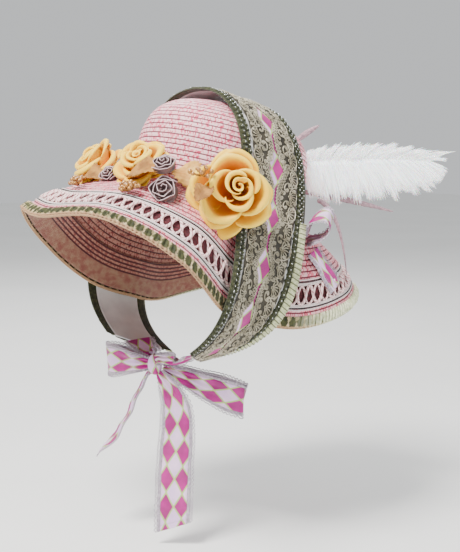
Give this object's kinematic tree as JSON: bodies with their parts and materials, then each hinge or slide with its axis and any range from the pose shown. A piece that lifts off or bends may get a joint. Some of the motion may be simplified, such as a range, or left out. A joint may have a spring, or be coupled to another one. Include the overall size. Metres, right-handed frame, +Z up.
{
  "type": "poke bonnet",
  "caption": "Wide-brimmed straw poke bonnet with a trimmed band over crown and brim, ribbon ties in a bow, fabric flowers and a plume.",
  "frame": {"origin": "inner top of the crown, where the bonnet sits on a head", "axes": "+Z up with the head upright, -Y the way the wearer faces, +X the wearer's left"},
  "size_m": [0.2951, 0.4182, 0.464],
  "materials": {
    "pink_straw": "sewn pale pink straw braid with magenta flecks",
    "net_cloth": "fine net",
    "white_cord": "twisted white cord",
    "olive_velvet": "ruched velvet and satin ribbon, olive with cream",
    "white_satin": "white satin cloth",
    "harlequin_ribbon": "satin ribbon printed with magenta and lilac diamonds",
    "guipure_lace": "grey and gold metallic lace",
    "yellow_rose": "soft yellow fabric petals",
    "mauve_ribbon": "mauve-brown satin ribbon",
    "tan_leaf": "tan fabric leaf",
    "berry_gold": "pearly gold beads",
    "white_plume": "white ostrich plume",
    "mauve_feather": "mauve feather"
  },
  "bodies": {
    "root": {"straw_crown": "pink_straw", "straw_brim": "pink_straw", "straw_edge": "pink_straw", "brim_net": "net_cloth", "openwork_braid": "white_cord", "edge_ruffle": "olive_velvet", "band_base": "white_satin", "band_harlequin": "harlequin_ribbon", "band_lace_front": "guipure_lace", "band_lace_rear": "guipure_lace", "band_trim_front": "olive_velvet", "band_trim_rear": "olive_velvet", "tie_left": "harlequin_ribbon", "tie_right": "harlequin_ribbon", "bow_knot": "harlequin_ribbon", "bow_loop_left": "harlequin_ribbon", "bow_loop_right": "harlequin_ribbon", "tail_long": "harlequin_ribbon", "tail_short": "harlequin_ribbon", "rose_large": "yellow_rose", "rose_front": "yellow_rose", "rose_far": "yellow_rose", "ribbon_rose_1": "mauve_ribbon", "ribbon_rose_2": "mauve_ribbon", "ribbon_rose_3": "mauve_ribbon", "leaf_1": "tan_leaf", "leaf_2": "tan_leaf", "leaf_3": "tan_leaf", "leaf_4": "tan_leaf", "berries_1": "berry_gold", "berries_2": "berry_gold", "berries_3": "berry_gold", "plume": "white_plume", "biot_1": "mauve_feather", "biot_2": "mauve_feather", "biot_3": "mauve_feather", "rear_loop": "harlequin_ribbon", "rear_tail": "harlequin_ribbon"}
  },
  "joints": []
}
